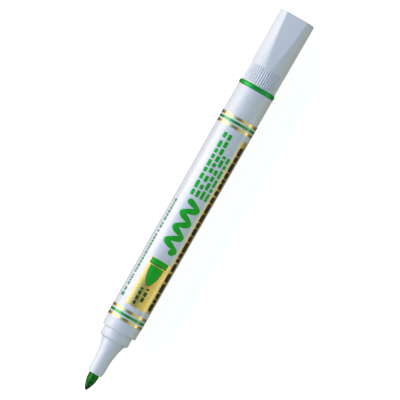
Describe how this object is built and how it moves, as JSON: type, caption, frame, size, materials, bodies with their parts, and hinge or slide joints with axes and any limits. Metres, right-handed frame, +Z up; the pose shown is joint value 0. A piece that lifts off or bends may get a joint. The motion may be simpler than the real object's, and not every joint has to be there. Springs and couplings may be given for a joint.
{
  "type": "whiteboard marker",
  "caption": "Round bullet-tip whiteboard marker with a stepped neck, a tapered printed barrel and a ribbed cap with pinch flats posted on its tail.",
  "frame": {"origin": "on the surface the marker lies on, under the middle of its length and under its own axis", "axes": "+X along the marker from the nib to the crown of the posted cap; +Z up, out of the front of the printed label; +Y completes the right-handed frame"},
  "size_m": [0.1604, 0.0148, 0.0149],
  "materials": {
    "white_plastic": "satin gloss, injection moulded",
    "cap_plastic": "satin, injection moulded",
    "printed_film": "gloss film with printed green and gold artwork",
    "green_plastic": "gloss, injection moulded",
    "liner_plastic": "soft natural plastic",
    "inked_nib": "bonded acrylic fibre soaked in green ink",
    "ink_fibre": "loose polyester fibre bundle soaked in green ink",
    "clear_film": "thin film wrapped around the fibre",
    "air_tube_plastic": "extruded thin tube"
  },
  "bodies": {
    "pen": {"barrel": "white_plastic", "label_film": "printed_film", "nozzle": "white_plastic", "nib": "inked_nib", "reservoir_core": "ink_fibre", "reservoir_wrap": "clear_film", "air_tube": "air_tube_plastic", "tail_plug": "green_plastic"},
    "liner": {"cap_liner": "liner_plastic"},
    "cap": {"cap_shell": "cap_plastic"}
  },
  "joints": [
    {"name": "cap_pull", "type": "slide", "parent": "pen", "child": "liner", "axis": [1, 0, 0], "range_m": [0, 0.04]},
    {"name": "cap_twist", "type": "hinge", "parent": "liner", "child": "cap", "pos_m": [0.05017, 0, 0.00744], "axis": [1, 0, 0], "continuous": true}
  ]
}
